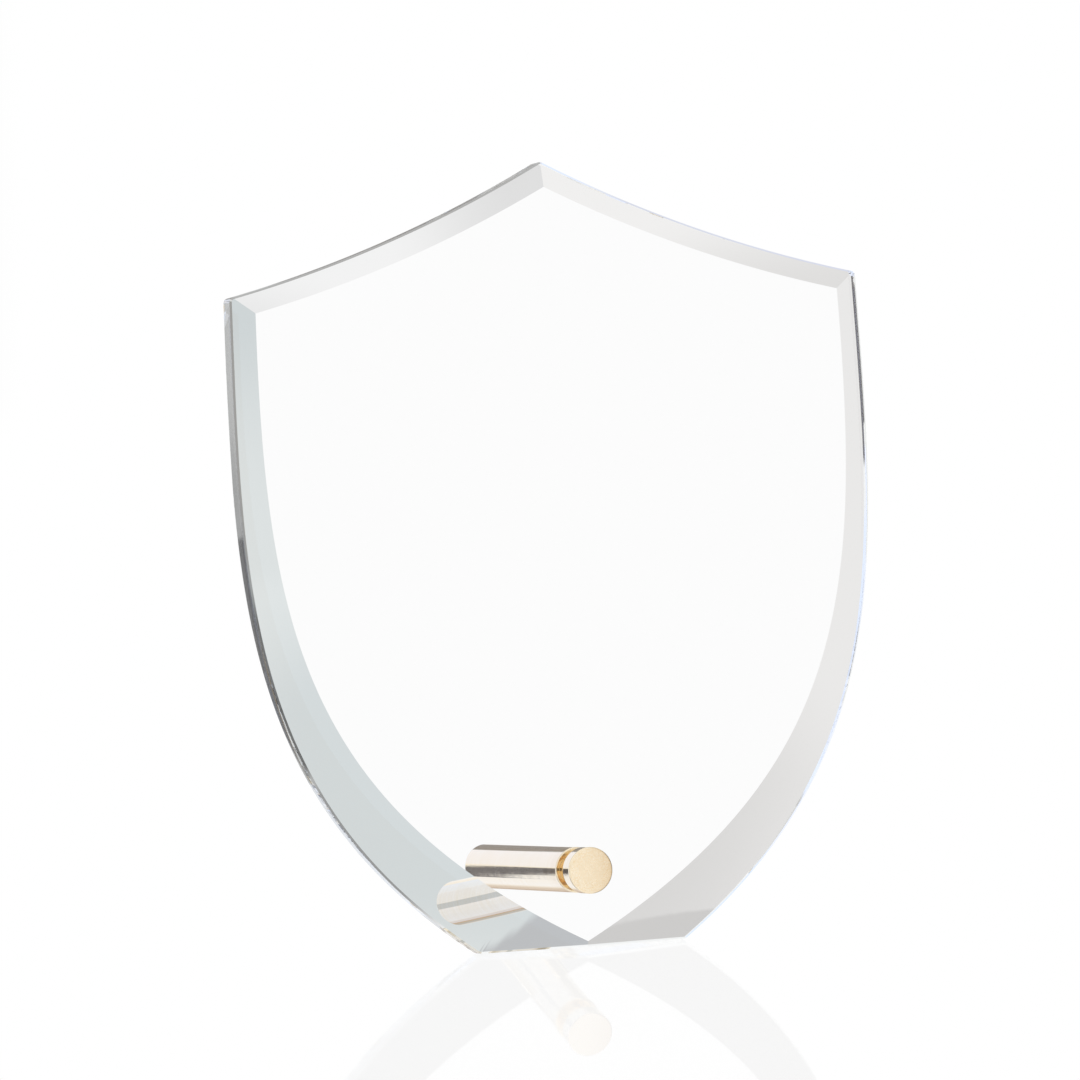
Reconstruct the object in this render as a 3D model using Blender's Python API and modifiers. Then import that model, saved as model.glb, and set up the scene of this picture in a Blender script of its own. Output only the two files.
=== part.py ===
"""Award shield: a bevelled clear glass plate that leans back on a gold pin.

Run with: blender --background --python part.py
Units are metres, +Z is up and +Y points away from the reader. The plate is modelled upright
in its own frame (X across, Y through the thickness, Z up the glass) and an empty leans it back.
The origin is on the table, under the middle of the object's box.
"""

import math

import bmesh
import bpy
from mathutils import Matrix, Vector

MM = 0.001

# Glass plate
THICKNESS = 8.0 * MM
ARRIS = 0.5 * MM
BEVEL_ANGLE = math.radians(15.0)
CORNER_RADIUS = 1.5 * MM
FOOT_CORNER_RADIUS = 2.5 * MM

# Outline of the plate, right half: apex, shoulder and the tip that the flat foot cuts away
APEX = Vector((0.0, 206.0)) * MM
SHOULDER = Vector((86.8, 173.6)) * MM
UNCUT_TIP = Vector((0.0, -17.3)) * MM
TOP_SAG = 3.0 * MM
SHOULDER_HANDLE = Vector((1.9, -85.8)) * MM
TIP_HANDLE = Vector((91.2, 47.1)) * MM

# Outline of the flat face inside the bevel, right half
FACE_APEX = Vector((0.0, 199.2)) * MM
FACE_SHOULDER = Vector((80.6, 169.3)) * MM
FACE_TIP = Vector((0.0, 1.4)) * MM
FACE_TOP_SAG = 2.6 * MM
FACE_SHOULDER_HANDLE = Vector((2.0, -78.7)) * MM
FACE_TIP_HANDLE = Vector((76.9, 40.3)) * MM

# Place on both flat sides that takes a bonded award plate or film, right half
LABEL_HALF_WIDTH = 45.0 * MM
LABEL_LOW = 60.0 * MM
LABEL_HIGH = 150.0 * MM

# Gold pin: a cap with a shank in front, a support rod behind
PIN_HEIGHT = 20.0 * MM
CAP_RADIUS = 6.1 * MM
CAP_LENGTH = 5.0 * MM
ROD_RADIUS = 6.0 * MM
ROD_LENGTH = 76.0 * MM
SHANK_RADIUS = 3.0 * MM
SHANK_IN_ROD = 8.0 * MM
EDGE_BREAK = 0.4 * MM
GAP = 0.3 * MM

# Fineness of the curves
TOP_STEPS = 22
SIDE_STEPS = 56
CORNER_STEPS = 6
FOOT_STEPS = 8
FACE_STEPS = 400
ROUND_STEPS = 72
SHARP_ANGLE = math.radians(8.0)
MERGE = 0.00001

# The rod's end and the foot's rear edge both touch the table, and that sets the lean
LEAN = math.atan((PIN_HEIGHT - ROD_RADIUS) / (GAP + ROD_LENGTH - EDGE_BREAK + ARRIS))
ROD_FRONT = THICKNESS + GAP


def height_on_table(depth, height):
    """Return Z of a point of the plate's frame once the plate leans, before the lift."""
    return height * math.cos(LEAN) - depth * math.sin(LEAN)


def reach_on_table(depth, height):
    """Return Y of a point of the plate's frame once the plate leans, before centring."""
    return depth * math.cos(LEAN) + height * math.sin(LEAN)


LIFT = -height_on_table(THICKNESS - ARRIS, 0.0)
FRONT_REACH = reach_on_table(-GAP - CAP_LENGTH, PIN_HEIGHT - CAP_RADIUS + EDGE_BREAK)
REAR_REACH = reach_on_table(ROD_FRONT + ROD_LENGTH, PIN_HEIGHT + ROD_RADIUS - EDGE_BREAK)


def clear_scene():
    """Remove every object, so that the part stands alone."""
    for obj in list(bpy.data.objects):
        bpy.data.objects.remove(obj, do_unlink=True)


def new_collection(name, hidden=False):
    """Return a collection linked to the scene."""
    collection = bpy.data.collections.new(name)
    collection.hide_render = hidden
    bpy.context.scene.collection.children.link(collection)
    return collection


def new_material(name, color, roughness, metallic=0.0, transmission=0.0):
    """Return a Principled material with the piece's own colour and gloss."""
    material = bpy.data.materials.new(name)
    material.use_nodes = True
    shader = material.node_tree.nodes["Principled BSDF"]
    shader.inputs["Base Color"].default_value = (*color, 1.0)
    shader.inputs["Roughness"].default_value = roughness
    shader.inputs["Metallic"].default_value = metallic
    shader.inputs["Transmission Weight"].default_value = transmission
    return material


def add_object(name, mesh, collection, parent, material=None):
    """Return a new object with the mesh, under the empty that leans the plaque."""
    obj = bpy.data.objects.new(name, mesh)
    collection.objects.link(obj)
    obj.parent = parent
    if material:
        mesh.materials.append(material)
    return obj


def sagging_arc(start, end, sag, steps):
    """Return points along a circular arc that dips by sag below the line from start to end."""
    chord = end - start
    half = chord.length / 2
    radius = (half * half + sag * sag) / (2 * sag)
    outward = Vector((-chord.y, chord.x)).normalized()
    centre = (start + end) / 2 + outward * (radius - sag)
    swing = math.asin(half / radius)
    points = []
    for step in range(steps + 1):
        angle = swing * (2 * step / steps - 1)
        turned = Matrix.Rotation(angle, 2) @ (-outward)
        points.append(centre + turned * radius)
    return points


def cubic(start, handle_a, handle_b, end, steps):
    """Return points along a cubic curve whose handles are given from its own ends."""
    first, second = start + handle_a, end + handle_b
    points = []
    for step in range(steps + 1):
        t = step / steps
        s = 1 - t
        points.append(s**3 * start + 3 * s * s * t * first + 3 * s * t * t * second + t**3 * end)
    return points


def line(start, end, steps):
    """Return evenly spaced points on a straight line."""
    return [start.lerp(end, step / steps) for step in range(steps + 1)]


def trimmed(path, length):
    """Return the path with this much length taken off its end."""
    path = list(path)
    while length > 0:
        last = (path[-1] - path[-2]).length
        if last > length:
            path[-1] = path[-1].lerp(path[-2], length / last)
            return path
        length -= last
        path.pop()
    return path


def round_corner(before, after, radius):
    """Join two paths that meet, with the corner between them rounded to about this radius."""
    corner = before[-1]
    turn = (corner - before[-2]).angle(after[1] - after[0])
    reach = radius * math.tan(turn / 2)
    before = trimmed(before, reach)
    after = trimmed(after[::-1], reach)[::-1]
    bend = []
    for step in range(1, CORNER_STEPS):
        t = step / CORNER_STEPS
        bend.append(before[-1].lerp(corner, t).lerp(corner.lerp(after[0], t), t))
    return before + bend + after


def cut_at_foot(path):
    """Return the part of a path above the foot, ending on the foot line."""
    above = [point for point in path if point.y > 0]
    last, below = above[-1], path[len(above)]
    return above + [last.lerp(below, last.y / (last.y - below.y))]


def half_outline():
    """Return the right half of the plate's outline, from the apex round to the foot's middle."""
    top = sagging_arc(APEX, SHOULDER, TOP_SAG, TOP_STEPS)
    side = cut_at_foot(cubic(SHOULDER, SHOULDER_HANDLE, TIP_HANDLE, UNCUT_TIP, SIDE_STEPS))
    foot = line(side[-1], Vector((0.0, 0.0)), FOOT_STEPS)
    mirrored_top = [Vector((-point.x, point.y)) for point in reversed(top)]
    whole = round_corner(mirrored_top, top, CORNER_RADIUS)
    apex_on = [point for point in whole if point.x > -MERGE]
    apex_on[0].x = 0.0
    return round_corner(round_corner(apex_on, side, CORNER_RADIUS), foot, FOOT_CORNER_RADIUS)


def face_edges():
    """Return the two edges of the flat face, right half: its top and its side."""
    top = sagging_arc(FACE_APEX, FACE_SHOULDER, FACE_TOP_SAG, FACE_STEPS)
    side = cubic(FACE_SHOULDER, FACE_SHOULDER_HANDLE, FACE_TIP_HANDLE, FACE_TIP, FACE_STEPS)
    return top, side


def nearest_on(path, point):
    """Return the point of the path nearest to a point, and how far outside the path that is.

    Past either end of the path the distance is taken from the line that carries it on.
    """
    best = None
    for index in range(len(path) - 1):
        a, b = path[index], path[index + 1]
        along = (b - a).normalized()
        reach = (point - a).dot(along)
        foot = a + along * min(max(reach, 0.0), (b - a).length)
        gap = (point - foot).length
        if best is None or gap < best[0]:
            best = (gap, foot, along.cross(point - a))
    return best[1], best[2]


def bevel_under(point, edges):
    """Return the flat face's point that a bevel point rises to, and the bevel's depth there."""
    found = [nearest_on(edge, point) for edge in edges]
    foot, width = max(found, key=lambda pair: pair[1])
    return foot, width * math.tan(BEVEL_ANGLE)


def inset(path, distance):
    """Return the path moved square to itself, towards the inside of the right half."""
    moved = []
    for index, point in enumerate(path):
        ahead = path[min(index + 1, len(path) - 1)]
        behind = path[max(index - 1, 0)]
        along = (ahead - behind).normalized()
        moved.append(point + Vector((along.y, -along.x)) * distance)
    for end in (0, -1):
        moved[end].x = 0.0
    return moved


def plate_rings():
    """Return the rings of the right half, from the flat face over the bevel to the back."""
    outline = half_outline()
    edges = face_edges()
    lowered = inset(outline, ARRIS)
    under = [bevel_under(point, edges) for point in lowered]
    face = [Vector((foot.x, 0.0, foot.y)) for foot, _ in under]
    face[0].x = 0.0
    face[-1].x = 0.0
    bevel_foot = [Vector((p.x, depth, p.y)) for p, (_, depth) in zip(lowered, under)]
    wall_front = [Vector((p.x, depth + ARRIS, p.y)) for p, (_, depth) in zip(outline, under)]
    wall_rear = [Vector((p.x, THICKNESS - ARRIS, p.y)) for p in outline]
    back = [Vector((p.x, THICKNESS, p.y)) for p in lowered]
    return [face, bevel_foot, wall_front, wall_rear, back]


def smooth_round_faces(mesh):
    """Shade a mesh smooth, apart from the edges that are real edges of the piece."""
    mesh.shade_smooth()
    mesh.set_sharp_from_angle(angle=SHARP_ANGLE)


def add_face(bm, corners):
    """Add a face, leaving out a corner that repeats its neighbour."""
    kept = [c for index, c in enumerate(corners) if c is not corners[index - 1]]
    if len(kept) > 2:
        bm.faces.new(kept)


def ring_vertices(bm, ring):
    """Return one vertex for each point of a ring, shared where points fall together."""
    vertices = []
    for point in ring:
        if vertices and (vertices[-1].co - point).length < MERGE:
            vertices.append(vertices[-1])
        else:
            vertices.append(bm.verts.new(point))
    return vertices


def add_flat_side(bm, ring, depth, front):
    """Close a flat side of the plate, with the label's place as a face of its own."""
    corners = [
        (0.0, LABEL_LOW),
        (LABEL_HALF_WIDTH, LABEL_LOW),
        (LABEL_HALF_WIDTH, LABEL_HIGH),
        (0.0, LABEL_HIGH),
    ]
    label = [bm.verts.new((x, depth, z)) for x, z in corners]
    border = ring + label
    if front:
        add_face(bm, border[::-1])
        add_face(bm, label)
    else:
        add_face(bm, border)
        add_face(bm, label[::-1])


def make_plate_mesh():
    """Return the right half of the plate, open at X = 0, lofted over its rings."""
    bm = bmesh.new()
    rings = [ring_vertices(bm, ring) for ring in plate_rings()]
    for upper, lower in zip(rings, rings[1:]):
        for index in range(len(upper) - 1):
            corners = (upper[index], upper[index + 1], lower[index + 1], lower[index])
            add_face(bm, corners)
    add_flat_side(bm, rings[0], 0.0, front=True)
    add_flat_side(bm, rings[-1], THICKNESS, front=False)
    mesh = bpy.data.meshes.new("glass_shield")
    bm.to_mesh(mesh)
    bm.free()
    smooth_round_faces(mesh)
    return mesh


def make_bore(collection, parent):
    """Return the cutter for the pin's hole through the glass."""
    bm = bmesh.new()
    radius = SHANK_RADIUS + GAP
    bmesh.ops.create_cone(
        bm, cap_ends=True, segments=ROUND_STEPS, radius1=radius, radius2=radius, depth=3 * THICKNESS
    )
    mesh = bpy.data.meshes.new("pin_bore")
    bm.to_mesh(mesh)
    bm.free()
    cutter = add_object("pin_bore", mesh, collection, parent)
    cutter.rotation_euler = (math.radians(90), 0.0, 0.0)
    cutter.location = (0.0, THICKNESS / 2, PIN_HEIGHT)
    cutter.hide_render = True
    cutter.display_type = "WIRE"
    return cutter


def make_glass(collection, cutters, parent):
    """Make the bevelled plate: half of it lofted, mirrored, then bored for the pin."""
    glass = new_material("clear polished glass", (0.98, 1.0, 0.99), 0.02, transmission=1.0)
    plate = add_object("glass_shield", make_plate_mesh(), collection, parent, glass)
    mirror = plate.modifiers.new("left half", "MIRROR")
    mirror.use_axis = (True, False, False)
    mirror.merge_threshold = MERGE
    bore = plate.modifiers.new("pin bore", "BOOLEAN")
    bore.operation = "DIFFERENCE"
    bore.solver = "EXACT"
    bore.object = make_bore(cutters, parent)
    return plate


def turned(name, profile, collection, parent, material):
    """Return a round piece turned about its own Z axis from (radius, height) points."""
    mesh = bpy.data.meshes.new(name)
    points = [(radius, 0.0, height) for radius, height in profile]
    edges = [(index, index + 1) for index in range(len(points) - 1)]
    mesh.from_pydata(points, edges, [])
    piece = add_object(name, mesh, collection, parent, material)
    screw = piece.modifiers.new("turning", "SCREW")
    screw.axis = "Z"
    screw.steps = ROUND_STEPS
    screw.render_steps = ROUND_STEPS
    screw.use_merge_vertices = True
    screw.merge_threshold = MERGE
    evaluated = piece.evaluated_get(bpy.context.evaluated_depsgraph_get())
    piece.data = bpy.data.meshes.new_from_object(evaluated)
    piece.modifiers.remove(screw)
    smooth_round_faces(piece.data)
    return piece


def make_cap(collection, parent):
    """Make the pin's front cap, with the shank that goes back through the glass."""
    shank_end = -(GAP + THICKNESS + GAP + SHANK_IN_ROD)
    profile = [
        (0.0, CAP_LENGTH),
        (CAP_RADIUS - EDGE_BREAK, CAP_LENGTH),
        (CAP_RADIUS, CAP_LENGTH - EDGE_BREAK),
        (CAP_RADIUS, EDGE_BREAK),
        (CAP_RADIUS - EDGE_BREAK, 0.0),
        (SHANK_RADIUS, 0.0),
        (SHANK_RADIUS, shank_end + EDGE_BREAK),
        (SHANK_RADIUS - EDGE_BREAK, shank_end),
        (0.0, shank_end),
    ]
    gold = new_material("satin gold plated brass", (0.90, 0.72, 0.45), 0.35, metallic=1.0)
    cap = turned("pin_cap", profile, collection, parent, gold)
    cap.rotation_euler = (math.radians(90), 0.0, 0.0)
    cap.location = (0.0, -GAP, PIN_HEIGHT)
    return cap


def make_rod(collection, parent):
    """Make the support rod, bored in front for the cap's shank."""
    hole = SHANK_RADIUS + GAP
    profile = [
        (0.0, -SHANK_IN_ROD - GAP),
        (hole, -SHANK_IN_ROD - GAP),
        (hole, 0.0),
        (ROD_RADIUS - EDGE_BREAK, 0.0),
        (ROD_RADIUS, -EDGE_BREAK),
        (ROD_RADIUS, EDGE_BREAK - ROD_LENGTH),
        (ROD_RADIUS - EDGE_BREAK, -ROD_LENGTH),
        (0.0, -ROD_LENGTH),
    ]
    gold = new_material("polished gold plated brass", (0.92, 0.76, 0.50), 0.12, metallic=1.0)
    rod = turned("support_rod", profile, collection, parent, gold)
    rod.rotation_euler = (math.radians(90), 0.0, 0.0)
    rod.location = (0.0, ROD_FRONT, PIN_HEIGHT)
    return rod


def main():
    """Build the award shield, leaning back on its rod."""
    clear_scene()
    collection = new_collection("Award shield")
    cutters = new_collection("Cutters", hidden=True)
    lean = bpy.data.objects.new("lean", None)
    collection.objects.link(lean)
    lean.rotation_euler = (-LEAN, 0.0, 0.0)
    lean.location = (0.0, -(FRONT_REACH + REAR_REACH) / 2, LIFT)
    make_glass(collection, cutters, lean)
    make_cap(collection, lean)
    make_rod(collection, lean)


main()
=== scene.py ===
"""Looks of a clear bevelled glass award shield on a gold pin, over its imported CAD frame.

All sizes are in metres unless a name says otherwise. +Z is up, +X is to the reader's right and +Y
points away from the reader. The plate is drawn upright (X across, Y through it, Z up) and then
leans back about its foot, as the frame does.
"""

import logging
import math
from dataclasses import dataclass
from enum import Enum

import bmesh
import bpy
from mathutils import Matrix, Vector


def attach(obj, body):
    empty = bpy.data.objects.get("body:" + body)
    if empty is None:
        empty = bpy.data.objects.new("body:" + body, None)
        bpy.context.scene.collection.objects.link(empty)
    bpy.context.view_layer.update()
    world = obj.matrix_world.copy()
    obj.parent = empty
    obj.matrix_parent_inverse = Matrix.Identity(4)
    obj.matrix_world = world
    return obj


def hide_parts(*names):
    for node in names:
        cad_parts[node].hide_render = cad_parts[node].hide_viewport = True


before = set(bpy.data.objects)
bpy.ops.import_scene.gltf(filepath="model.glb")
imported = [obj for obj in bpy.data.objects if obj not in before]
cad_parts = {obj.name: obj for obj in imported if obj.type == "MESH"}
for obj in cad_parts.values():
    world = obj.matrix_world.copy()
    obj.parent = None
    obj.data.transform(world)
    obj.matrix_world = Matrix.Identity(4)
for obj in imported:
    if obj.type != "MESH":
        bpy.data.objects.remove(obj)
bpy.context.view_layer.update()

LOG = logging.getLogger("award_shield")
MM = 0.001
MERGE = 0.000001
SHARED = 5 * MERGE
SHARP_ANGLE = math.radians(8.0)
# Spread of a noise texture's values, for fine grain and for broad patches
NOISE_LOW, NOISE_HIGH = 0.3, 0.7
CLOUD_LOW, CLOUD_HIGH = 0.35, 0.65
WHITE = (1.0, 1.0, 1.0, 1.0)


def linear(code: str) -> tuple[float, float, float, float]:
    """Turn an sRGB hex colour into linear RGBA.

    Args:
        code: Six hex digits, such as "F5DDB0".

    Returns:
        Linear red, green, blue and an alpha of one.
    """
    parts = [int(code[start : start + 2], 16) / 255 for start in (0, 2, 4)]
    red, green, blue = (
        part / 12.92 if part <= 0.04045 else ((part + 0.055) / 1.055) ** 2.4 for part in parts
    )
    return red, green, blue, 1.0


def add_node(
    tree: bpy.types.NodeTree, kind: str, feeds: dict | None = None, **settings
) -> bpy.types.Node:
    """Add a node with its settings, its values and the links that feed it.

    Args:
        tree: Tree that takes the node.
        kind: Type name of the node.
        feeds: Input name or number, with the socket that feeds it or its plain value.
        settings: Properties of the node itself.

    Returns:
        The new node.
    """
    node = tree.nodes.new(kind)
    for name, value in settings.items():
        setattr(node, name, value)
    for key, value in (feeds or {}).items():
        socket = node.inputs[key]
        if isinstance(value, bpy.types.NodeSocket):
            tree.links.new(value, socket)
        else:
            socket.default_value = value
    return node


def compute(tree: bpy.types.NodeTree, operation: str, *values: object) -> bpy.types.NodeSocket:
    """Add a Math node, and return its result.

    Args:
        tree: Tree that takes the node.
        operation: What the node works out.
        values: Its inputs in order, as sockets or plain values.

    Returns:
        The node's output.
    """
    feeds = dict(enumerate(values))
    return add_node(tree, "ShaderNodeMath", feeds, operation=operation).outputs[0]


def noise(
    tree: bpy.types.NodeTree, where: bpy.types.NodeSocket, size_mm: float, detail: float
) -> bpy.types.NodeSocket:
    """Add noise whose marks have a real size.

    Args:
        tree: Tree that takes the node.
        where: Coordinates in metres.
        size_mm: Size of a mark in millimetres.
        detail: How many finer layers it has.

    Returns:
        The noise's value.
    """
    feeds = {"Vector": where, "Scale": 1 / (size_mm * MM), "Detail": detail}
    return add_node(tree, "ShaderNodeTexNoise", feeds).outputs["Fac"]


def emboss(tree: bpy.types.NodeTree, relief: bpy.types.NodeSocket, height_mm: float) -> None:
    """Raise the shader's surface by a relief that goes from zero to one.

    Args:
        tree: The material's tree.
        relief: The relief.
        height_mm: Height of a value of one, in millimetres.
    """
    feeds = {"Height": relief, "Strength": 1.0, "Distance": height_mm * MM}
    bump = add_node(tree, "ShaderNodeBump", feeds)
    tree.links.new(bump.outputs["Normal"], tree.nodes["Principled BSDF"].inputs["Normal"])


def grey(level: float) -> tuple[float, float, float]:
    """Return a neutral light of this level."""
    return (level,) * 3


def settle(piece: bpy.types.Object, node: str) -> None:
    """Give a finished piece its place in the frame.

    Args:
        piece: The finished object.
        node: CAD node that it stands for.
    """
    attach(piece, "root")
    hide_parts(node)
    LOG.info("%s: %d faces, stands for %s", piece.name, len(piece.data.polygons), node)


def shade(mesh: bpy.types.Mesh) -> None:
    """Shade a mesh smooth, apart from its real edges."""
    mesh.shade_smooth()
    mesh.set_sharp_from_angle(angle=SHARP_ANGLE)


class GlassZone(Enum):
    """The surfaces of the plate, each with its own finish. The value is its material's place."""

    FLOAT_FACE = 0
    BEVEL = 1
    EDGE = 2


class GoldSheen(Enum):
    """How a gold surface was finished."""

    SATIN = "satin"
    POLISHED = "polished"


@dataclass(frozen=True)
class GlassFinish:
    """Clear soda-lime float glass.

    Attributes:
        title: Material name.
        tint: Colour that light keeps on its way through one surface.
        roughness: Haze of the polish.
        wave_mm: Length of the faint waves that the wheel or the float line leaves.
        wave_height_mm: Height of those waves.
        ior: How strongly the glass bends light.
    """

    title: str
    tint: str
    roughness: float
    wave_mm: float
    wave_height_mm: float
    ior: float = 1.52

    def material(self) -> bpy.types.Material:
        """Make the glass: see-through by the shader's own values, waved by its nodes.

        Returns:
            The material.
        """
        material = bpy.data.materials.new(self.title)
        material.use_nodes = True
        tree = material.node_tree
        shader = tree.nodes["Principled BSDF"]
        shader.inputs["Base Color"].default_value = linear(self.tint)
        shader.inputs["Roughness"].default_value = self.roughness
        shader.inputs["IOR"].default_value = self.ior
        shader.inputs["Transmission Weight"].default_value = 1.0
        place = add_node(tree, "ShaderNodeTexCoord").outputs["Object"]
        emboss(tree, noise(tree, place, self.wave_mm, 1.0), self.wave_height_mm)
        return material


# Float glass: drawn flat on molten tin, so it shows no texture and hardly any colour.
FLOAT_GLASS = GlassFinish("polished float glass", "FCFCFC", 0.0, 60.0, 0.0004)
# Ground and polished bevel: as clear, with the slow waves that the wheel leaves.
BEVEL_GLASS = GlassFinish("ground and polished glass bevel", "FCFCFC", 0.0, 14.0, 0.002)
# Edge: seamed with a diamond wheel and polished, a little greener and less even than the face.
EDGE_GLASS = GlassFinish("polished ground glass edge", "F2F5F4", 0.01, 6.0, 0.0015)
GLASS_FINISHES = {
    GlassZone.FLOAT_FACE: FLOAT_GLASS,
    GlassZone.BEVEL: BEVEL_GLASS,
    GlassZone.EDGE: EDGE_GLASS,
}


@dataclass(frozen=True)
class GoldFinish:
    """Gold plate on turned brass.

    Attributes:
        title: Material name.
        sheen: Satin or polished.
        pale: Lightest colour of the plate.
        deep: Deepest colour of the plate.
        roughness: Middle roughness.
        roughness_swing: How far the roughness moves either way.
        grain_mm: Size of the blasted grain, or spacing of the turning marks.
        grain_height_mm: Height of that grain.
        cloud_scale: Size of the patches of even gloss, in grains.
        ring_stretch: Share of the grain's scale that is left along a turning mark.
    """

    title: str
    sheen: GoldSheen
    pale: str
    deep: str
    roughness: float
    roughness_swing: float
    grain_mm: float
    grain_height_mm: float
    cloud_scale: float = 6.0
    ring_stretch: float = 0.04

    def material(self, lean: float) -> bpy.types.Material:
        """Make the gold, with its grain or turning marks.

        Args:
            lean: Angle of the pin's axis, so that turning marks run square to it.

        Returns:
            The material.
        """
        material = bpy.data.materials.new(self.title)
        material.use_nodes = True
        tree = material.node_tree
        shader = tree.nodes["Principled BSDF"]
        shader.inputs["Metallic"].default_value = 1.0
        place = add_node(tree, "ShaderNodeTexCoord").outputs["Object"]
        along_mark = 1.0 if self.sheen is GoldSheen.SATIN else self.ring_stretch
        marks = (along_mark, 1.0, along_mark)
        along = add_node(
            tree,
            "ShaderNodeMapping",
            {"Vector": place, "Rotation": (lean, 0.0, 0.0), "Scale": marks},
            vector_type="POINT",
        )
        grain = noise(tree, along.outputs["Vector"], self.grain_mm, 2.0)
        cloud = noise(tree, place, self.cloud_scale * self.grain_mm, 1.0)
        colour = add_node(
            tree,
            "ShaderNodeMapRange",
            {
                "Vector": grain,
                "From Min": (NOISE_LOW,) * 3,
                "From Max": (NOISE_HIGH,) * 3,
                "To Min": linear(self.deep)[:3],
                "To Max": linear(self.pale)[:3],
            },
            data_type="FLOAT_VECTOR",
        )
        gloss = add_node(
            tree,
            "ShaderNodeMapRange",
            {
                "Value": cloud,
                "From Min": CLOUD_LOW,
                "From Max": CLOUD_HIGH,
                "To Min": self.roughness - self.roughness_swing,
                "To Max": self.roughness + self.roughness_swing,
            },
        )
        tree.links.new(colour.outputs["Vector"], shader.inputs["Base Color"])
        tree.links.new(gloss.outputs["Result"], shader.inputs["Roughness"])
        emboss(tree, grain, self.grain_height_mm)
        return material


# Satin gold: bead-blasted before plating, so it is pale, soft and finely mottled.
SATIN_GOLD = GoldFinish(
    "satin gold plated brass", GoldSheen.SATIN, "FFF6E2", "F6DEB6", 0.30, 0.03, 0.22, 0.006
)
# Polished gold: turned, buffed and plated, a mirror with very faint marks round the rod.
POLISHED_GOLD = GoldFinish(
    "polished gold plated brass", GoldSheen.POLISHED, "F9EBD0", "F6E4C2", 0.04, 0.01, 0.5, 0.0002
)


@dataclass(frozen=True)
class Lean:
    """How the plaque stands: the rod's end and the foot's rear edge both touch the table."""

    thickness: float = 8.0 * MM
    arris: float = 0.5 * MM
    pin_height: float = 20.0 * MM
    cap_radius: float = 6.1 * MM
    cap_length: float = 5.0 * MM
    rod_radius: float = 6.0 * MM
    rod_length: float = 76.0 * MM
    edge_break: float = 0.4 * MM
    gap: float = 0.3 * MM

    @property
    def angle(self) -> float:
        """Angle by which the plate leans back."""
        run = self.gap + self.rod_length - self.edge_break + self.arris
        return math.atan((self.pin_height - self.rod_radius) / run)

    def leaned(self, depth: float, height: float) -> Vector:
        """Return (Y, Z) of a point of the plate, before the plaque is centred and lifted."""
        cosine, sine = math.cos(self.angle), math.sin(self.angle)
        return Vector((depth * cosine + height * sine, height * cosine - depth * sine))

    def place(self) -> Matrix:
        """Return the matrix that takes the plate's frame to the object's own.

        Returns:
            The lean about X, then the move that centres the box over the origin.
        """
        cap_low = self.pin_height - self.cap_radius + self.edge_break
        rod_high = self.pin_height + self.rod_radius - self.edge_break
        front = self.leaned(-self.gap - self.cap_length, cap_low)
        rear = self.leaned(self.thickness + self.gap + self.rod_length, rod_high)
        lift = -self.leaned(self.thickness - self.arris, 0.0).y
        move = Matrix.Translation((0.0, -(front.x + rear.x) / 2, lift))
        return move @ Matrix.Rotation(-self.angle, 4, "X")


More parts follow.
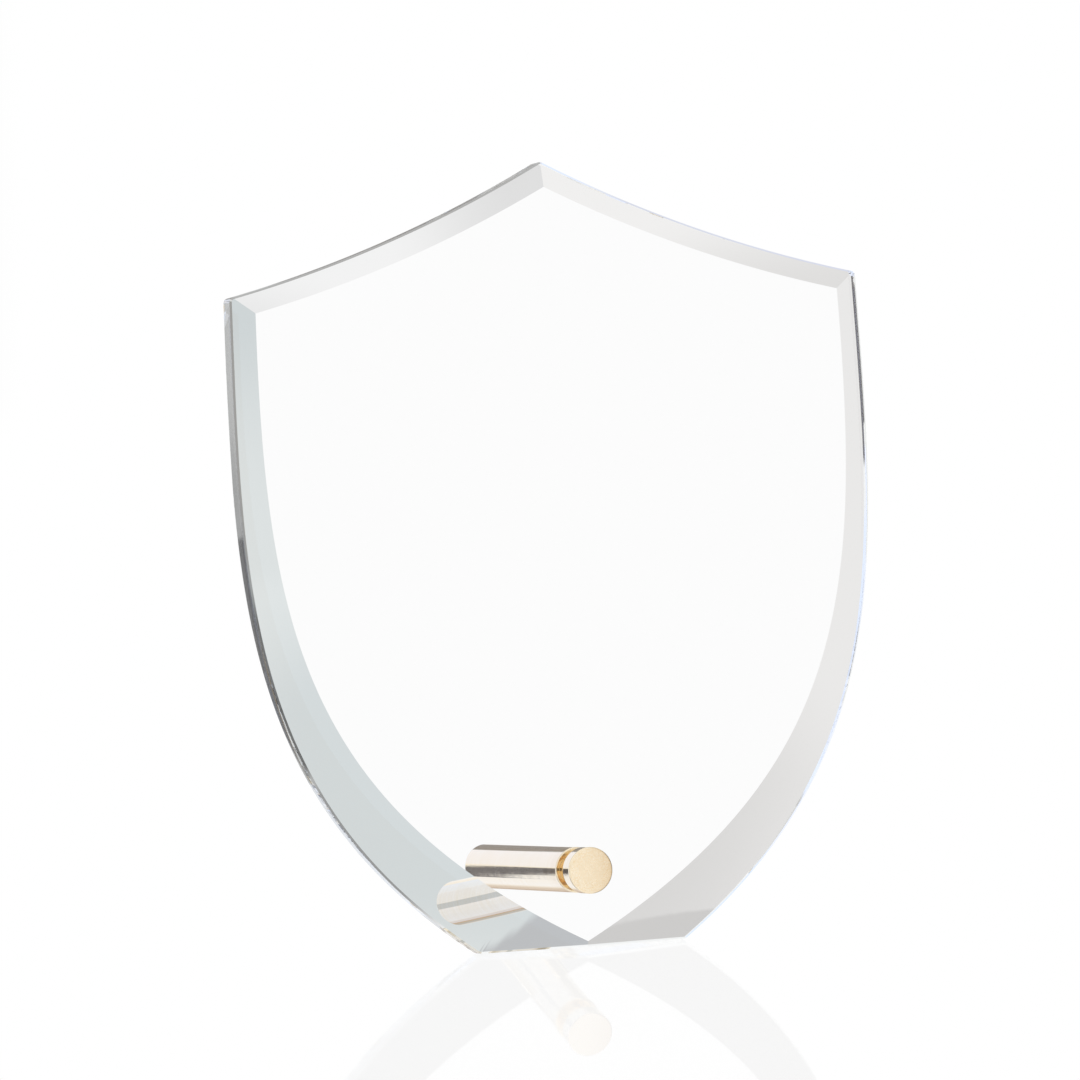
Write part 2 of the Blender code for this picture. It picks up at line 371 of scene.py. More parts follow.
@dataclass(frozen=True)
class ShieldOutline:
    """The heater shield: its cut outline and the edges of the flat face inside the bevel.

    Points are (across, up the glass) in millimetres for the right half. A point counts as on the
    right half up to left_slack past its middle line.
    """

    apex: tuple[float, float] = (0.0, 206.0)
    shoulder: tuple[float, float] = (86.8, 173.6)
    uncut_tip: tuple[float, float] = (0.0, -17.3)
    top_sag: float = 3.0
    shoulder_handle: tuple[float, float] = (1.9, -85.8)
    tip_handle: tuple[float, float] = (91.2, 47.1)
    face_apex: tuple[float, float] = (0.0, 199.2)
    face_shoulder: tuple[float, float] = (80.6, 169.3)
    face_tip: tuple[float, float] = (0.0, 1.4)
    face_top_sag: float = 2.6
    face_shoulder_handle: tuple[float, float] = (2.0, -78.7)
    face_tip_handle: tuple[float, float] = (76.9, 40.3)
    corner_radius: float = 1.5
    foot_corner_radius: float = 2.5
    top_steps: int = 90
    side_steps: int = 260
    foot_steps: int = 40
    corner_steps: int = 14
    face_steps: int = 320
    left_slack: float = 0.01

    def arc(self, start: Vector, end: Vector, sag: float, steps: int) -> list[Vector]:
        """Return points on a circular arc that dips below the line from start to end.

        Args:
            start: First point.
            end: Last point.
            sag: How far the arc dips at its middle.
            steps: Number of steps.

        Returns:
            The points, both ends among them.
        """
        chord = end - start
        half = chord.length / 2
        radius = (half * half + sag * sag) / (2 * sag)
        outward = Vector((-chord.y, chord.x)).normalized()
        centre = (start + end) / 2 + outward * (radius - sag)
        swing = math.asin(half / radius)
        turns = (swing * (2 * step / steps - 1) for step in range(steps + 1))
        return [centre + (Matrix.Rotation(turn, 2) @ (-outward)) * radius for turn in turns]

    def cubic(
        self, start: Vector, handle_a: Vector, handle_b: Vector, end: Vector, steps: int
    ) -> list[Vector]:
        """Return points on a cubic curve whose handles are given from its own ends.

        Args:
            start: First point.
            handle_a: Handle from the first point.
            handle_b: Handle from the last point.
            end: Last point.
            steps: Number of steps.

        Returns:
            The points, both ends among them.
        """
        first, second = start + handle_a, end + handle_b
        points = []
        for step in range(steps + 1):
            t = step / steps
            s = 1 - t
            near_start = s**3 * start + 3 * s * s * t * first
            points.append(near_start + 3 * s * t * t * second + t**3 * end)
        return points

    def trimmed(self, path: list[Vector], length: float) -> list[Vector]:
        """Return the path with this much length taken off its end."""
        path = list(path)
        while length > 0:
            last = (path[-1] - path[-2]).length
            if last > length:
                path[-1] = path[-1].lerp(path[-2], length / last)
                return path
            length -= last
            path.pop()
        return path

    def rounded(self, before: list[Vector], after: list[Vector], radius: float) -> list[Vector]:
        """Join two paths that meet, with the corner between them rounded.

        Args:
            before: Path up to the corner.
            after: Path from the corner on.
            radius: About the radius of the corner.

        Returns:
            One path.
        """
        corner = before[-1]
        turn = (corner - before[-2]).angle(after[1] - after[0])
        reach = radius * math.tan(turn / 2)
        before = self.trimmed(before, reach)
        after = self.trimmed(after[::-1], reach)[::-1]
        bend = []
        for step in range(1, self.corner_steps):
            t = step / self.corner_steps
            bend.append(before[-1].lerp(corner, t).lerp(corner.lerp(after[0], t), t))
        return before + bend + after

    def half(self) -> list[Vector]:
        """Return the right half of the cut outline, from the apex round to the foot's middle."""
        top = self.arc(Vector(self.apex), Vector(self.shoulder), self.top_sag, self.top_steps)
        side = self.cubic(
            Vector(self.shoulder),
            Vector(self.shoulder_handle),
            Vector(self.tip_handle),
            Vector(self.uncut_tip),
            self.side_steps,
        )
        above = [point for point in side if point.y > 0]
        below = side[len(above)]
        side = above + [above[-1].lerp(below, above[-1].y / (above[-1].y - below.y))]
        shares = [step / self.foot_steps for step in range(self.foot_steps + 1)]
        foot = [side[-1].lerp(Vector((0.0, 0.0)), share) for share in shares]
        other_top = [Vector((-point.x, point.y)) for point in reversed(top)]
        whole_top = self.rounded(other_top, top, self.corner_radius)
        half_top = [point for point in whole_top if point.x > -self.left_slack]
        half_top[0].x = 0.0
        to_foot = self.rounded(half_top, side, self.corner_radius)
        return self.rounded(to_foot, foot, self.foot_corner_radius)

    def face_edges(self) -> tuple[list[Vector], list[Vector]]:
        """Return the two edges of the flat face, right half: its top and its side."""
        shoulder = Vector(self.face_shoulder)
        top = self.arc(Vector(self.face_apex), shoulder, self.face_top_sag, self.face_steps)
        side = self.cubic(
            shoulder,
            Vector(self.face_shoulder_handle),
            Vector(self.face_tip_handle),
            Vector(self.face_tip),
            self.face_steps,
        )
        return top, side


@dataclass
class GlassShield:
    """The plate: flat face, wide bevel, arrises, flat foot and the pin's hole.

    Attributes:
        lean: How the plaque stands, with the thickness and the arris.
        outline: Cut outline and edges of the flat face.
        bevel_angle: Fall of the bevel from the flat face.
        bore_radius: Radius of the pin's hole.
        bore_sides: Facets round that hole.
        drill_reach: Length of the cutter, in thicknesses of the plate.
        mitre_halvings: Steps of the search for the place where the two bevels meet.
    """

    lean: Lean
    outline: ShieldOutline
    bevel_angle: float = math.radians(15.0)
    bore_radius: float = 3.3 * MM
    bore_sides: int = 96
    drill_reach: float = 3.0
    mitre_halvings: int = 24

    def nearest(self, path: list[Vector], point: Vector) -> tuple[Vector, float]:
        """Find the point of a path nearest to a bevel point, and how far outside that is.

        Past either end of the path the distance is taken from the line that carries it on.

        Args:
            path: One edge of the flat face.
            point: The point on the bevel.

        Returns:
            The path's point and the distance outside the path.
        """
        best = (math.inf, point, 0.0)
        for start, end in zip(path, path[1:]):
            along = (end - start).normalized()
            reach = min(max((point - start).dot(along), 0.0), (end - start).length)
            foot = start + along * reach
            gap = (point - foot).length
            if gap < best[0]:
                best = (gap, foot, along.cross(point - start))
        return best[1], best[2]

    def bevel_under(
        self, point: Vector, edges: tuple[list[Vector], list[Vector]]
    ) -> tuple[int, Vector, float]:
        """Say which edge's bevel a point is on.

        Args:
            point: The point on the bevel, in millimetres.
            edges: Top and side of the flat face.

        Returns:
            Number of the edge, the face's point that the bevel rises to, and the bevel's depth.
        """
        found = [(*self.nearest(edge, point), number) for number, edge in enumerate(edges)]
        foot, width, number = max(found, key=lambda item: item[1])
        return number, foot, width * math.tan(self.bevel_angle)

    def inset(self, path: list[Vector], distance: float) -> list[Vector]:
        """Return the half outline moved square to itself, towards its inside."""
        moved = []
        for index, point in enumerate(path):
            ahead, behind = path[min(index + 1, len(path) - 1)], path[max(index - 1, 0)]
            along = (ahead - behind).normalized()
            moved.append(point + Vector((along.y, -along.x)) * distance)
        moved[0].x = moved[-1].x = 0.0
        return moved

    def stations(self) -> tuple[list[Vector], list[Vector], list[tuple[Vector, float]]]:
        """Return the outline, the line just inside its arris, and the bevel under that.

        A station is added where the top's bevel meets the side's, so that the mitre is crisp.
        """
        edges = self.outline.face_edges()
        path = self.outline.half()
        inner = self.inset(path, self.lean.arris / MM)
        under = [self.bevel_under(point, edges) for point in inner]
        index = next(i for i in range(len(under) - 1) if under[i][0] != under[i + 1][0])
        low, high = 0.0, 1.0
        for _ in range(self.mitre_halvings):
            middle = (low + high) / 2
            here = self.bevel_under(inner[index].lerp(inner[index + 1], middle), edges)
            low, high = (middle, high) if here[0] == under[index][0] else (low, middle)
        path.insert(index + 1, path[index].lerp(path[index + 1], low))
        inner.insert(index + 1, inner[index].lerp(inner[index + 1], low))
        under.insert(index + 1, self.bevel_under(inner[index + 1], edges))
        return path, inner, [(foot, depth) for _, foot, depth in under]

    def rings(self) -> list[list[Vector]]:
        """Return the closed rings of the plate, from the flat face over the bevel to the back."""
        path, inner, under = self.stations()
        thick, arris = self.lean.thickness / MM, self.lean.arris / MM
        face = [Vector((foot.x, 0.0, foot.y)) for foot, _ in under]
        bevel_foot = [Vector((p.x, depth, p.y)) for p, (_, depth) in zip(inner, under)]
        wall_front = [Vector((p.x, depth + arris, p.y)) for p, (_, depth) in zip(path, under)]
        wall_rear = [Vector((p.x, thick - arris, p.y)) for p in path]
        back = [Vector((p.x, thick, p.y)) for p in inner]
        whole = []
        for ring in (face, bevel_foot, wall_front, wall_rear, back):
            ring[0].x = ring[-1].x = 0.0
            left = [Vector((-p.x, p.y, p.z)) for p in reversed(ring[1:-1])]
            whole.append([p * MM for p in ring + left])
        return whole

    def ring_vertices(
        self, mesh: bmesh.types.BMesh, ring: list[Vector]
    ) -> list[bmesh.types.BMVert]:
        """Return one vertex for each point of a ring, shared where points fall together."""
        vertices = []
        for point in ring:
            near = vertices and (vertices[-1].co - point).length < SHARED
            vertices.append(vertices[-1] if near else mesh.verts.new(point))
        return vertices

    def skin(
        self, mesh: bmesh.types.BMesh, corners: list[bmesh.types.BMVert], zone: GlassZone
    ) -> None:
        """Add a face without the corners that repeat, and say which finish it takes."""
        before = corners[-1:] + corners[:-1]
        kept = [corner for corner, last in zip(corners, before) if corner is not last]
        if len(kept) >= 3:
            mesh.faces.new(kept).material_index = zone.value

    def plate(self) -> bpy.types.Mesh:
        """Loft the plate over its rings and lean it back.

        Returns:
            The closed plate, without the pin's hole.
        """
        mesh = bmesh.new()
        rings = [self.ring_vertices(mesh, ring) for ring in self.rings()]
        zones = (GlassZone.BEVEL, GlassZone.EDGE, GlassZone.EDGE, GlassZone.EDGE)
        for upper, lower, zone in zip(rings, rings[1:], zones):
            for index in range(len(upper)):
                corners = [upper[index - 1], upper[index], lower[index], lower[index - 1]]
                self.skin(mesh, corners, zone)
        self.skin(mesh, rings[0][::-1], GlassZone.FLOAT_FACE)
        self.skin(mesh, rings[-1], GlassZone.FLOAT_FACE)
        bmesh.ops.recalc_face_normals(mesh, faces=mesh.faces)
        mesh.transform(self.lean.place())
        data = bpy.data.meshes.new("glass_shield_look")
        mesh.to_mesh(data)
        mesh.free()
        for zone in GlassZone:
            data.materials.append(GLASS_FINISHES[zone].material())
        return data

    def drill(self) -> bpy.types.Object:
        """Return the cutter for the pin's hole, in its place."""
        mesh = bmesh.new()
        bmesh.ops.create_cone(
            mesh,
            cap_ends=True,
            segments=self.bore_sides,
            radius1=self.bore_radius,
            radius2=self.bore_radius,
            depth=self.drill_reach * self.lean.thickness,
        )
        middle = Matrix.Translation((0.0, self.lean.thickness / 2, self.lean.pin_height))
        mesh.transform(self.lean.place() @ middle @ Matrix.Rotation(math.radians(90), 4, "X"))
        data = bpy.data.meshes.new("drill")
        mesh.to_mesh(data)
        mesh.free()
        return bpy.data.objects.new("drill", data)

    def build(self) -> bpy.types.Object:
        """Make the bored and dressed plate.

        Returns:
            The finished piece.
        """
        piece = bpy.data.objects.new("bevelled_glass_plate", self.plate())
        drill = self.drill()
        bpy.context.scene.collection.objects.link(piece)
        bpy.context.scene.collection.objects.link(drill)
        bore = piece.modifiers.new("pin hole", "BOOLEAN")
        bore.operation = "DIFFERENCE"
        bore.solver = "EXACT"
        bore.object = drill
        evaluated = piece.evaluated_get(bpy.context.evaluated_depsgraph_get())
        bored = bpy.data.meshes.new_from_object(evaluated)
        piece.modifiers.remove(bore)
        piece.data = bored
        bpy.data.objects.remove(drill, do_unlink=True)
        shade(piece.data)
        settle(piece, "glass_shield")
        return piece


@dataclass
class TurnedPiece:
    """A round gold piece: a body, with a thinner core that is a shank or a hole.

    Attributes:
        name: Name of the finished piece.
        core_radius: Radius of the shank or hole.
        core_depth: How far the core goes back from the body's base.
        body_radius: Radius of the body.
        body_reach: Length of the body from its base, negative where it goes rearwards.
        edge_round: Radius of the broken edges.
        crown: How far the middle of the body's far end stands proud of its rim.
        base: Place of the body's base on the pin's axis, through the plate.
        body_finish: Finish all round.
        end_finish: Finish of the body's far end.
        sides: Facets round the axis.
        round_steps: Steps across a broken edge.
        ring_share: Distance of the extra ring from a broken edge, in its radius.
        crown_steps: Rings across the crowned end.
        end_share: Share of the reach past which the end's finish starts.
        broken_corners: Corners of the half section that are rounded.
    """

    name: str
    core_radius: float
    core_depth: float
    body_radius: float
    body_reach: float
    edge_round: float
    crown: float
    base: float
    body_finish: GoldFinish
    end_finish: GoldFinish
    sides: int = 192
    round_steps: int = 12
    ring_share: float = 1.3
    crown_steps: int = 8
    end_share: float = 0.985
    broken_corners: tuple[int, ...] = (1, 3, 6)

    def sockets(self) -> list[tuple[str, str, object]]:
        """Return the named inputs of the turning tree, with their kinds and values."""
        return [
            ("Core radius", "NodeSocketFloat", self.core_radius),
            ("Core depth", "NodeSocketFloat", self.core_depth),
            ("Body radius", "NodeSocketFloat", self.body_radius),
            ("Body reach", "NodeSocketFloat", self.body_reach),
            ("Edge round", "NodeSocketFloat", self.edge_round),
            ("Crown", "NodeSocketFloat", self.crown),
            ("Round steps", "NodeSocketInt", self.round_steps),
            ("Sides", "NodeSocketInt", self.sides),
        ]

    def by_index(
        self, tree: bpy.types.NodeTree, kind: str, values: list[object]
    ) -> bpy.types.NodeSocket:
        """Return a field that gives each point of the section its own value.

        Args:
            tree: The turning tree.
            kind: Data type of the values.
            values: One socket or plain value for each point.

        Returns:
            The field.
        """
        index = add_node(tree, "GeometryNodeInputIndex")
        choose = add_node(tree, "GeometryNodeIndexSwitch", data_type=kind)
        while len(choose.index_switch_items) < len(values):
            choose.index_switch_items.new()
        tree.links.new(index.outputs["Index"], choose.inputs["Index"])
        for number, value in enumerate(values, 1):
            if isinstance(value, bpy.types.NodeSocket):
                tree.links.new(value, choose.inputs[number])
            else:
                choose.inputs[number].default_value = value
        return choose.outputs[0]

    def profile(self, tree: bpy.types.NodeTree, sizes: dict) -> bpy.types.NodeSocket:
        """Draw the piece's half section, with its edges rounded.

        Args:
            tree: The turning tree.
            sizes: Outputs of the tree's group input.

        Returns:
            The geometry socket of the section, as points joined by edges.
        """
        back = compute(tree, "MULTIPLY", sizes["Core depth"], -1.0)
        # A ring just past each broken edge keeps the side's shading straight between them
        past = compute(tree, "MULTIPLY", sizes["Edge round"], self.ring_share)
        near = compute(tree, "MULTIPLY", past, compute(tree, "SIGN", sizes["Body reach"]))
        far = compute(tree, "SUBTRACT", sizes["Body reach"], near)
        corners = [
            (0.0, back),
            (sizes["Core radius"], back),
            (sizes["Core radius"], 0.0),
            (sizes["Body radius"], 0.0),
            (sizes["Body radius"], near),
            (sizes["Body radius"], far),
            (sizes["Body radius"], sizes["Body reach"]),
        ]
        sharp = len(corners)
        for step in range(self.crown_steps - 1, -1, -1):
            share = step / self.crown_steps
            out = compute(tree, "MULTIPLY", sizes["Body radius"], share)
            rise = compute(
                tree, "MULTIPLY_ADD", sizes["Crown"], 1 - share * share, sizes["Body reach"]
            )
            corners.append((out, rise))
        places = []
        for radius, height in corners:
            corner = add_node(tree, "ShaderNodeCombineXYZ", {"X": radius, "Z": height})
            places.append(corner.outputs["Vector"])
        line = add_node(
            tree, "GeometryNodeMeshLine", {"Count": len(corners), "Offset": (0.0, 0.0, 0.0)}
        )
        drawn = add_node(
            tree,
            "GeometryNodeSetPosition",
            {"Geometry": line.outputs["Mesh"], "Position": self.by_index(tree, "VECTOR", places)},
        )
        curve = add_node(tree, "GeometryNodeMeshToCurve", {"Mesh": drawn.outputs["Geometry"]})
        # Only the shank's end and the body's two rims are broken edges
        radii = [
            sizes["Edge round"] if corner in self.broken_corners else 0.0 for corner in range(sharp)
        ]
        fillet = add_node(
            tree,
            "GeometryNodeFilletCurve",
            {
                "Curve": curve.outputs["Curve"],
                "Count": sizes["Round steps"],
                "Radius": self.by_index(tree, "FLOAT", radii),
                "Limit Radius": True,
            },
            mode="POLY",
        )
        section = add_node(tree, "GeometryNodeCurveToMesh", {"Curve": fillet.outputs["Curve"]})
        return section.outputs["Mesh"]

    def tree(self) -> tuple[bpy.types.NodeTree, dict[str, str]]:
        """Build the tree that turns the half section about Z.

        Returns:
            The tree, and the identifier of each named input.
        """
        tree = bpy.data.node_groups.new(f"{self.name} turning", "GeometryNodeTree")
        keys = {}
        for name, kind, _ in self.sockets():
            socket = tree.interface.new_socket(name, in_out="INPUT", socket_type=kind)
            keys[name] = socket.identifier
        for name in ("Body finish", "End finish"):
            socket = tree.interface.new_socket(
                name, in_out="INPUT", socket_type="NodeSocketMaterial"
            )
            keys[name] = socket.identifier
        tree.interface.new_socket("Geometry", in_out="OUTPUT", socket_type="NodeSocketGeometry")
        sizes = add_node(tree, "NodeGroupInput").outputs
        section = self.profile(tree, sizes)
        count = add_node(tree, "GeometryNodeAttributeDomainSize", {"Geometry": section})
        columns = compute(tree, "ADD", sizes["Sides"], 1.0)
        sheet = add_node(
            tree,
            "GeometryNodeMeshGrid",
            {"Vertices X": count.outputs["Point Count"], "Vertices Y": columns},
        )
        index = add_node(tree, "GeometryNodeInputIndex").outputs["Index"]
        row = compute(tree, "FLOOR", compute(tree, "DIVIDE", index, columns))
        column = compute(tree, "MODULO", index, columns)
        share = compute(tree, "DIVIDE", column, sizes["Sides"])
        turn = compute(tree, "MULTIPLY", share, 2 * math.pi)
        place = add_node(tree, "GeometryNodeInputPosition")
        sample = add_node(
            tree,
            "GeometryNodeSampleIndex",
            {"Geometry": section, "Value": place.outputs["Position"], "Index": row},
            data_type="FLOAT_VECTOR",
            clamp=True,
        )
        swung = add_node(
            tree,
            "ShaderNodeVectorRotate",
            {"Vector": sample.outputs[0], "Angle": turn},
            rotation_type="Z_AXIS",
        )
        turned = add_node(
            tree,
            "GeometryNodeSetPosition",
            {"Geometry": sheet.outputs["Mesh"], "Position": swung.outputs["Vector"]},
        )
        closed = add_node(
            tree,
            "GeometryNodeMergeByDistance",
            {"Geometry": turned.outputs["Geometry"], "Distance": MERGE},
        )
        real = add_node(
            tree, "GeometryNodeRealizeInstances", {"Geometry": closed.outputs["Geometry"]}
        )
        body = add_node(
            tree,
            "GeometryNodeSetMaterial",
            {"Geometry": real.outputs["Geometry"], "Material": sizes["Body finish"]},
        )
        height = add_node(tree, "ShaderNodeSeparateXYZ", {"Vector": place.outputs["Position"]})
        reach = compute(tree, "DIVIDE", height.outputs["Z"], sizes["Body reach"])
        at_end = compute(tree, "GREATER_THAN", reach, self.end_share)
        end = add_node(
            tree,
            "GeometryNodeSetMaterial",
            {
                "Geometry": body.outputs["Geometry"],
                "Selection": at_end,
                "Material": sizes["End finish"],
            },
        )
        add_node(tree, "NodeGroupOutput", {"Geometry": end.outputs["Geometry"]})
        return tree, keys

    def build(self, lean: Lean) -> bpy.types.Object:
        """Turn the piece and put it on the pin's axis.

        Args:
            lean: How the plaque stands.

        Returns:
            The finished object, without its place in the frame yet.
        """
        body = end = self.body_finish.material(lean.angle)
        if self.end_finish is not self.body_finish:
            end = self.end_finish.material(lean.angle)
        piece = bpy.data.objects.new(self.name, bpy.data.meshes.new(self.name))
        bpy.context.scene.collection.objects.link(piece)
        tree, keys = self.tree()
        turning = piece.modifiers.new("turning", "NODES")
        turning.node_group = tree
        for name, _, value in self.sockets():
            turning[keys[name]] = value
        turning[keys["Body finish"]] = body
        turning[keys["End finish"]] = end
        evaluated = piece.evaluated_get(bpy.context.evaluated_depsgraph_get())
        data = bpy.data.meshes.new_from_object(evaluated)
        piece.modifiers.remove(turning)
        piece.data = data
        bm = bmesh.new()
        bm.from_mesh(data)
        on_axis = Matrix.Translation((0.0, self.base, lean.pin_height))
        bm.transform(lean.place() @ on_axis @ Matrix.Rotation(math.radians(90), 4, "X"))
        bmesh.ops.recalc_face_normals(bm, faces=bm.faces)
        bm.to_mesh(data)
        bm.free()
        shade(data)
        return piece


@dataclass
class GoldPin:
    """The pin through the plate's foot: a cap in front and the support rod behind."""

    lean: Lean
    shank_radius: float = 3.0 * MM
    shank_in_rod: float = 8.0 * MM

    def cap(self) -> bpy.types.Object:
        """Make the cap, with a satin front, a polished side and its shank.

        Returns:
            The finished piece.
        """
        lean = self.lean
        piece = TurnedPiece(
            name="satin_pin_cap",
            core_radius=self.shank_radius,
            core_depth=lean.gap + lean.thickness + lean.gap + self.shank_in_rod,
            body_radius=lean.cap_radius,
            body_reach=lean.cap_length,
            edge_round=lean.edge_break,
            crown=0.25 * MM,
            base=-lean.gap,
            body_finish=POLISHED_GOLD,
            end_finish=SATIN_GOLD,
        ).build(lean)
        settle(piece, "pin_cap")
        return piece

    def rod(self) -> bpy.types.Object:
        """Make the polished rod that the plaque leans on, bored for the shank.

        Returns:
            The finished piece.
        """
        lean = self.lean
        piece = TurnedPiece(
            name="polished_support_rod",
            core_radius=self.shank_radius + lean.gap,
            core_depth=-(self.shank_in_rod + lean.gap),
            body_radius=lean.rod_radius,
            body_reach=-lean.rod_length,
            edge_round=lean.edge_break,
            crown=0.0,
            base=lean.thickness + lean.gap,
            body_finish=POLISHED_GOLD,
            end_finish=POLISHED_GOLD,
        ).build(lean)
        settle(piece, "support_rod")
        return piece


@dataclass(frozen=True)
class Card:
    """A soft-edged card or light of the studio, painted on the sky by its direction.

    Attributes:
        turn: Lowest and highest turn from +Y towards +X, in degrees.
        rise: Lowest and highest angle above the horizon, in degrees.
        soft: Width of the soft edge across and up, in degrees.
        tone: Light that the card gives, in linear red, green and blue.
        slant: How far the card's sides lean across for each degree up from its middle.
    """

    turn: tuple[float, float]
    rise: tuple[float, float]
    soft: tuple[float, float]
    tone: tuple[float, float, float]
    slant: float = 0.0


# Light from two dark things in the room, in linear red, green and blue
DARK_GAP = (0.12, 0.115, 0.13)
FAR_WALL = (0.28, 0.26, 0.25)


@dataclass
class Studio:
    """A white studio: a glossy white table, soft light all round, grey cards and the camera.

    Attributes:
        table_radius: Radius of the table top.
        table_sides: Sides of the table top.
        table_gloss: Share of the table's light that is its mirror image.
        table_roughness: Haze of that mirror image.
        base_tone: Light from where there is no card.
        cards: Cards, each painted over those before it.
        camera_place: Place of the camera.
        camera_turn: Turn of the camera about Z.
        camera_dip: How far it looks down.
        camera_lens: Focal length in millimetres.
        camera_sensor: Width of the sensor in millimetres.
        camera_reach: How far it sees.
        turns_in_glass: How often light may turn inside the plate.
    """

    table_radius: float = 4.0
    table_sides: int = 96
    table_gloss: float = 0.15
    table_roughness: float = 0.02
    base_tone: tuple[float, float, float] = grey(1.0)
    cards: tuple[Card, ...] = (
        # Cool light ahead on the left, which the pin's upper side shows, with grey above it
        Card((-60.0, 7.0), (1.5, 14.5), (3.0, 0.6), (1.0, 1.05, 1.24)),
        Card((-60.0, -11.0), (-5.5, 2.5), (3.0, 0.6), (1.0, 1.05, 1.24)),
        Card((-60.0, 8.0), (9.9, 20.0), (3.0, 1.6), (0.88, 1.0, 1.26)),
        Card((-60.0, -4.0), (15.5, 50.0), (4.0, 1.5), grey(0.66)),
        Card((-60.0, -19.4), (9.0, 60.0), (1.2, 0.4), (0.74, 0.78, 0.86)),
        Card((-70.0, -16.5), (-7.6, 9.9), (1.0, 0.4), (0.86, 0.95, 1.17), slant=0.66),
        # Floor ahead, cool on the left and warm on the right, which the pin's underside shows
        Card((-60.0, 3.0), (-45.0, -13.0), (8.0, 1.0), (1.01, 1.06, 1.20)),
        Card((-60.0, -19.7), (-45.0, -13.2), (0.8, 0.6), (0.88, 0.97, 1.22)),
        Card((-60.0, -14.5), (-30.5, -23.5), (1.0, 0.6), (0.86, 0.95, 1.18), slant=-0.8),
        Card((-60.0, 8.0), (-70.0, -30.0), (3.0, 0.6), (0.84, 0.93, 1.16)),
        Card((-60.0, -22.5), (-19.0, -7.8), (0.4, 0.4), (0.56, 0.65, 0.83)),
        Card((6.0, 24.0), (-32.0, -16.4), (10.0, 0.8), (0.72, 0.62, 0.54)),
        Card((14.5, 24.0), (-32.0, -14.5), (3.0, 1.5), (0.55, 0.43, 0.34)),
        Card((8.0, 60.0), (-45.0, -29.0), (3.0, 1.5), (0.73, 0.75, 0.88)),
        # Floor near the shield on the right, which the top edge shows
        Card((18.9, 60.0), (-45.0, -16.4), (1.2, 0.7), grey(0.50)),
        Card((27.5, 60.0), (-45.0, -19.0), (2.0, 1.0), grey(0.43)),
        # Table and wall on the right, darker towards the far end
        Card((9.5, 14.2), (-12.5, -3.0), (1.2, 0.8), grey(0.85)),
        Card((12.2, 17.5), (-6.1, -3.0), (1.0, 2.4), grey(0.695)),
        # Table near the camera, past the plate's top
        Card((12.0, 30.0), (-16.0, -13.4), (1.5, 0.6), grey(0.91)),
        Card((16.5, 30.0), (-16.6, -14.98), (2.6, 0.9), grey(0.75)),
        # Table and wall on the left, darker and bluer towards the far end
        Card((22.3, 60.0), (-16.5, -10.0), (2.0, 0.8), grey(0.74)),
        Card((22.3, 60.0), (-10.8, -2.5), (2.0, 0.8), (0.76, 0.80, 0.80)),
        Card((23.0, 60.0), (-7.4, -2.5), (0.9, 0.9), (0.645, 0.695, 0.705)),
        # Both again where the table mirrors them
        Card((23.0, 30.0), (17.0, 24.0), (1.0, 1.0), grey(0.52)),
        Card((12.5, 17.5), (17.0, 23.0), (1.0, 1.0), grey(0.52)),
        # Past the table's far end
        Card((21.5, 23.677), (-5.75, -2.6), (0.03, 0.1), (0.485, 0.503, 0.521), slant=0.488),
        Card((15.314, 17.5), (-5.9, -2.6), (0.03, 0.1), grey(0.61), slant=0.36),
        Card((3.0, 14.4), (-4.0, 8.1), (1.2, 0.4), FAR_WALL),
        Card((14.0, 18.6), (-4.0, 2.5), (1.0, 0.8), FAR_WALL),
        # Dark gap beside the light on the left
        Card((-21.5, -18.5), (-12.0, -7.1), (0.15, 0.3), DARK_GAP),
        Card((-19.2, -12.5), (-18.8, -11.0), (0.15, 0.3), DARK_GAP, slant=-0.406),
        Card((-16.62, -10.0), (-21.8, -18.2), (0.15, 0.3), DARK_GAP, slant=-0.676),
        Card((-14.25, -9.0), (-24.7, -21.4), (0.15, 0.3), DARK_GAP, slant=-0.893),
        # Dark doorway behind the camera, which the pin's joint shows, and a warm wall on its right
        Card((-175.0, -140.0), (6.0, 15.0), (4.0, 2.0), grey(0.15)),
        Card((95.0, 150.0), (-30.0, 45.0), (8.0, 10.0), (0.62, 0.46, 0.27)),
        # Dim room far to the right, which the cut edge shows
        Card((25.0, 125.0), (28.0, 80.0), (8.0, 10.0), grey(0.72)),
        Card((60.0, 125.0), (0.0, 31.0), (12.0, 10.0), grey(0.13)),
        Card((60.0, 125.0), (-12.0, 4.0), (12.0, 2.0), grey(0.32)),
        Card((50.0, 125.0), (-65.0, -12.0), (10.0, 2.0), grey(0.38)),
        Card((-130.0, -72.0), (-65.0, -18.0), (6.0, 4.0), grey(0.50)),
        Card((36.0, 50.0), (-9.0, -4.2), (2.0, 1.5), grey(0.32)),
        Card((36.0, 50.0), (-4.2, 2.0), (2.0, 1.5), grey(0.12)),
        Card((36.0, 50.0), (2.0, 14.0), (2.0, 1.5), grey(0.33)),
        # White ground straight behind the flat glass
        Card((16.4, 22.0), (-12.6, -6.0), (0.3, 0.3), grey(1.0)),
    )
    camera_place: tuple[float, float, float] = (-0.60531, -1.74395, 0.39861)
    camera_turn: float = math.radians(-19.18)
    camera_dip: float = math.radians(9.11)
    camera_lens: float = 235.26
    camera_sensor: float = 36.0
    camera_reach: float = 100.0
    turns_in_glass: int = 48

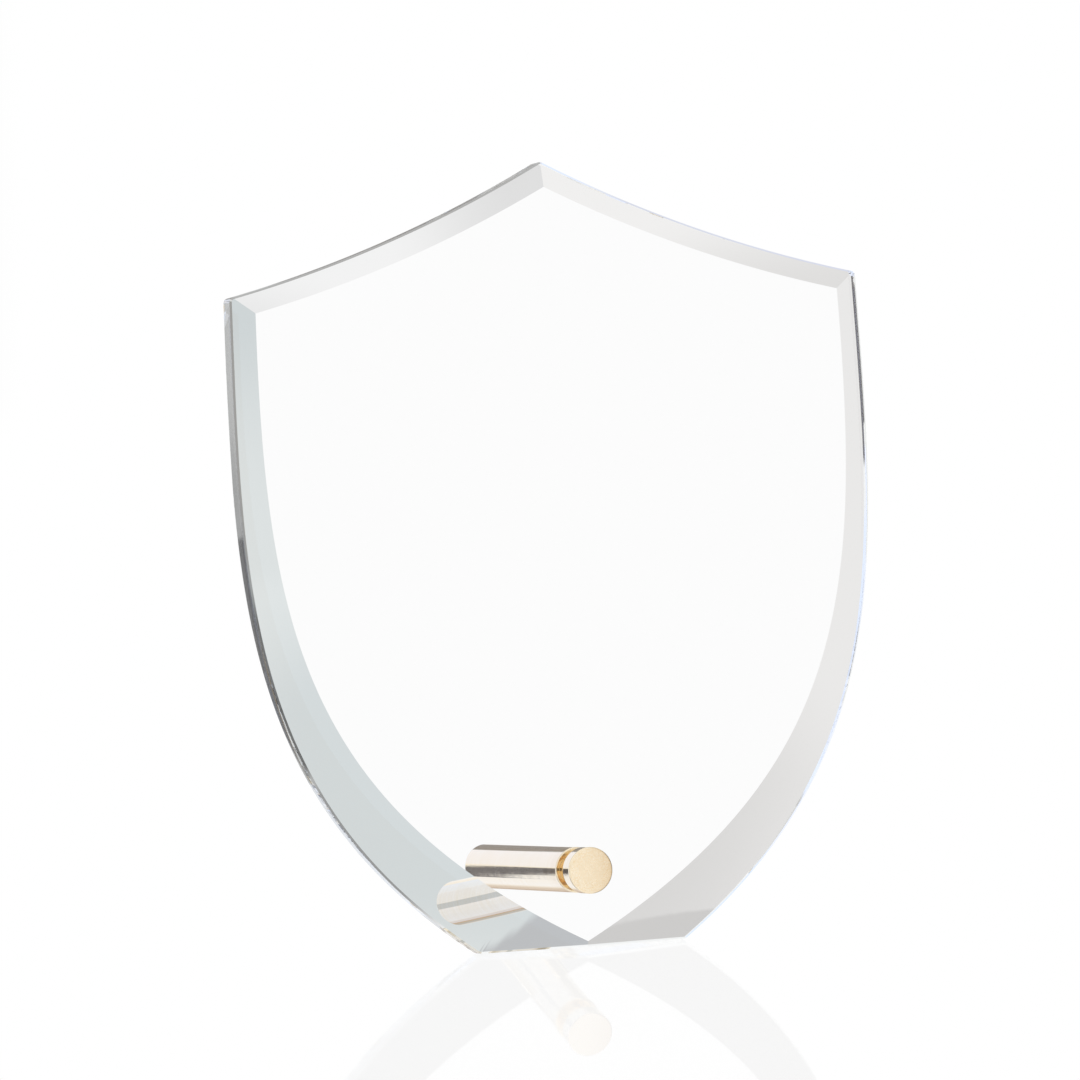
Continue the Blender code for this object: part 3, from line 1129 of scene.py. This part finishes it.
    def card_mask(
        self,
        tree: bpy.types.NodeTree,
        card: Card,
        turn: bpy.types.NodeSocket,
        rise: bpy.types.NodeSocket,
    ) -> bpy.types.NodeSocket:
        """Return how much of a card is seen in a direction.

        Args:
            tree: The sky's tree.
            card: The card.
            turn: Turn of the direction.
            rise: Rise of the direction.

        Returns:
            A socket that goes from zero to one.
        """
        mask = None
        if card.slant:
            lift = compute(tree, "SUBTRACT", rise, sum(card.rise) / 2)
            turn = compute(tree, "MULTIPLY_ADD", lift, -card.slant, turn)
        sides = ((turn, card.turn, card.soft[0]), (rise, card.rise, card.soft[1]))
        for angle, (low, high), soft in sides:
            for edge, inward in ((low, soft / 2), (high, -soft / 2)):
                ramp = add_node(
                    tree,
                    "ShaderNodeMapRange",
                    {"Value": angle, "From Min": edge - inward, "From Max": edge + inward},
                    interpolation_type="SMOOTHSTEP",
                ).outputs["Result"]
                mask = ramp if mask is None else compute(tree, "MULTIPLY", mask, ramp)
        return mask

    def sky(self) -> None:
        """Paint the soft light and the cards round the table. The camera itself sees white."""
        world = bpy.data.worlds.new("white studio")
        world.use_nodes = True
        bpy.context.scene.world = world
        # Every surface here is glossy or clear, so its own rays find the light
        world.cycles.sampling_method = "NONE"
        tree = world.node_tree
        tree.nodes.clear()
        look = add_node(tree, "ShaderNodeTexCoord")
        parts = add_node(tree, "ShaderNodeSeparateXYZ", {"Vector": look.outputs["Generated"]})
        across, ahead, up = parts.outputs
        turn = compute(tree, "DEGREES", compute(tree, "ARCTAN2", across, ahead))
        rise = compute(tree, "DEGREES", compute(tree, "ARCSINE", up))
        tone = (*self.base_tone, 1.0)
        for card in self.cards:
            mask = self.card_mask(tree, card, turn, rise)
            tone = add_node(
                tree,
                "ShaderNodeMix",
                {"Factor": mask, 6: tone, 7: (*card.tone, 1.0)},
                data_type="RGBA",
            ).outputs[2]
        path = add_node(tree, "ShaderNodeLightPath")
        seen = add_node(
            tree,
            "ShaderNodeMix",
            {"Factor": path.outputs["Is Camera Ray"], 6: tone, 7: WHITE},
            data_type="RGBA",
        )
        light = add_node(tree, "ShaderNodeBackground", {"Color": seen.outputs[2], "Strength": 1.0})
        add_node(tree, "ShaderNodeOutputWorld", {"Surface": light.outputs["Background"]})

    def table(self) -> bpy.types.Object:
        """Lay the glossy white table top.

        Returns:
            The table top, which isn't part of the object.
        """
        material = bpy.data.materials.new("glossy white acrylic sheet")
        material.use_nodes = True
        tree = material.node_tree
        tree.nodes.clear()
        glow = add_node(tree, "ShaderNodeEmission", {"Color": WHITE, "Strength": 1.0})
        mirror = add_node(
            tree, "ShaderNodeBsdfGlossy", {"Color": WHITE, "Roughness": self.table_roughness}
        )
        both = add_node(
            tree,
            "ShaderNodeMixShader",
            {"Fac": self.table_gloss, 1: glow.outputs["Emission"], 2: mirror.outputs["BSDF"]},
        )
        add_node(tree, "ShaderNodeOutputMaterial", {"Surface": both.outputs["Shader"]})
        mesh = bmesh.new()
        bmesh.ops.create_circle(
            mesh, cap_ends=True, segments=self.table_sides, radius=self.table_radius
        )
        data = bpy.data.meshes.new("table_top")
        mesh.to_mesh(data)
        mesh.free()
        data.materials.append(material)
        top = bpy.data.objects.new("table_top", data)
        bpy.context.scene.collection.objects.link(top)
        top.visible_transmission = False
        top.visible_glossy = False
        return top

    def camera(self) -> bpy.types.Object:
        """Set the camera where the photograph was taken from.

        Returns:
            The camera.
        """
        data = bpy.data.cameras.new("camera")
        data.sensor_width = self.camera_sensor
        data.lens = self.camera_lens
        data.clip_end = self.camera_reach
        camera = bpy.data.objects.new("camera", data)
        bpy.context.scene.collection.objects.link(camera)
        camera.location = self.camera_place
        camera.rotation_euler = (math.radians(90) - self.camera_dip, 0.0, self.camera_turn)
        bpy.context.scene.camera = camera
        return camera

    def long_paths(self) -> None:
        """Follow light that the plate's two faces pass along inside before it gets out."""
        cycles = bpy.context.scene.cycles
        cycles.max_bounces = self.turns_in_glass
        cycles.glossy_bounces = self.turns_in_glass
        cycles.transmission_bounces = self.turns_in_glass

    def build(self) -> None:
        """Set up the sky, the table top and the camera."""
        self.sky()
        self.table()
        self.camera()
        bpy.context.scene.view_settings.view_transform = "Standard"
        self.long_paths()
        LOG.info("studio: %d cards", len(self.cards))


def main() -> None:
    """Build the shield, its pin and the studio."""
    logging.basicConfig(level=logging.INFO, format="%(name)s %(message)s")
    lean = Lean()
    GlassShield(lean, ShieldOutline()).build()
    pin = GoldPin(lean)
    pin.cap()
    pin.rod()
    Studio().build()


if __name__ == "__main__":
    main()
